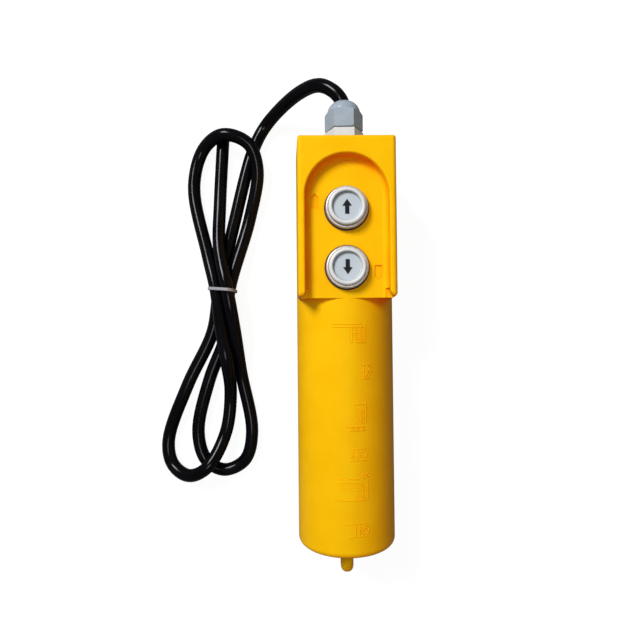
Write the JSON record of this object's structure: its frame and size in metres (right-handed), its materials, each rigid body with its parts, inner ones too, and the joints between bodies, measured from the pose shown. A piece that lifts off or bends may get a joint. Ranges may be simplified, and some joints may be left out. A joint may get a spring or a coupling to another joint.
{
  "type": "pendant control station",
  "caption": "Hand-held yellow pendant control with up and down push buttons in an arched pocket, round handle, hanging eye, cable gland and a coiled, tied black cord.",
  "frame": {"origin": "centre, in plan, of the station's box from the hanging eye's tip to the gland's mouth, at the level of the flat back it lies on; the cord isn't counted", "axes": "+X across the station to the right as its front is seen with the gland up, +Y along it from the hanging eye to the gland, +Z out of the front towards the buttons"},
  "size_m": [0.1403, 0.2833, 0.0615],
  "materials": {
    "casing": "satin",
    "seal": "matt",
    "screws": "zinc plated",
    "gland_body": "satin",
    "gland_nut": "satin",
    "cord": "glossy",
    "brown_core": "satin",
    "black_core": "satin",
    "grey_core": "satin",
    "capacitor": "satin",
    "lead": "satin",
    "foam": "open-celled foam",
    "tie": "satin",
    "bezel": "satin",
    "gasket": "matt",
    "block": "matt",
    "contact": "bright",
    "cap": "satin",
    "arrow": "printed",
    "plunger": "satin"
  },
  "bodies": {
    "housing": {"front_shell": "casing", "rear_shell": "casing", "shell_seal": "seal", "shell_screws": "screws", "hanging_lug": "casing", "gland_body": "gland_body", "gland_nut": "gland_nut", "gland_seal": "seal", "gland_washer": "seal", "gland_locknut": "gland_body", "cord_entry": "cord", "line_wire": "brown_core", "up_wire": "black_core", "down_wire": "grey_core", "jumper_wire": "brown_core", "capacitor": "capacitor", "capacitor_leads": "lead", "capacitor_foam": "foam", "up_bezel": "bezel", "up_gasket": "gasket", "up_ring_nut": "gland_body", "up_contact_block": "block", "up_terminals": "contact", "up_terminal_screws": "screws", "up_spring": "screws", "down_bezel": "bezel", "down_gasket": "gasket", "down_ring_nut": "gland_body", "down_contact_block": "block", "down_terminals": "contact", "down_terminal_screws": "screws", "down_spring": "screws", "cord": "cord", "cord_tie": "tie", "cord_cores": "brown_core"},
    "up_button": {"up_cap": "cap", "up_arrow": "arrow", "up_plunger": "plunger", "up_bridge": "contact"},
    "down_button": {"down_cap": "cap", "down_arrow": "arrow", "down_plunger": "plunger", "down_bridge": "contact"}
  },
  "joints": [
    {"name": "up_press", "type": "slide", "parent": "housing", "child": "up_button", "axis": [0, 0, -1], "range_m": [0, 0.0022], "stiffness_N_per_m": 500, "springref_m": -0.004, "deforming": ["up_spring"]},
    {"name": "down_press", "type": "slide", "parent": "housing", "child": "down_button", "axis": [0, 0, -1], "range_m": [0, 0.0022], "stiffness_N_per_m": 500, "springref_m": -0.004, "deforming": ["down_spring"]}
  ]
}
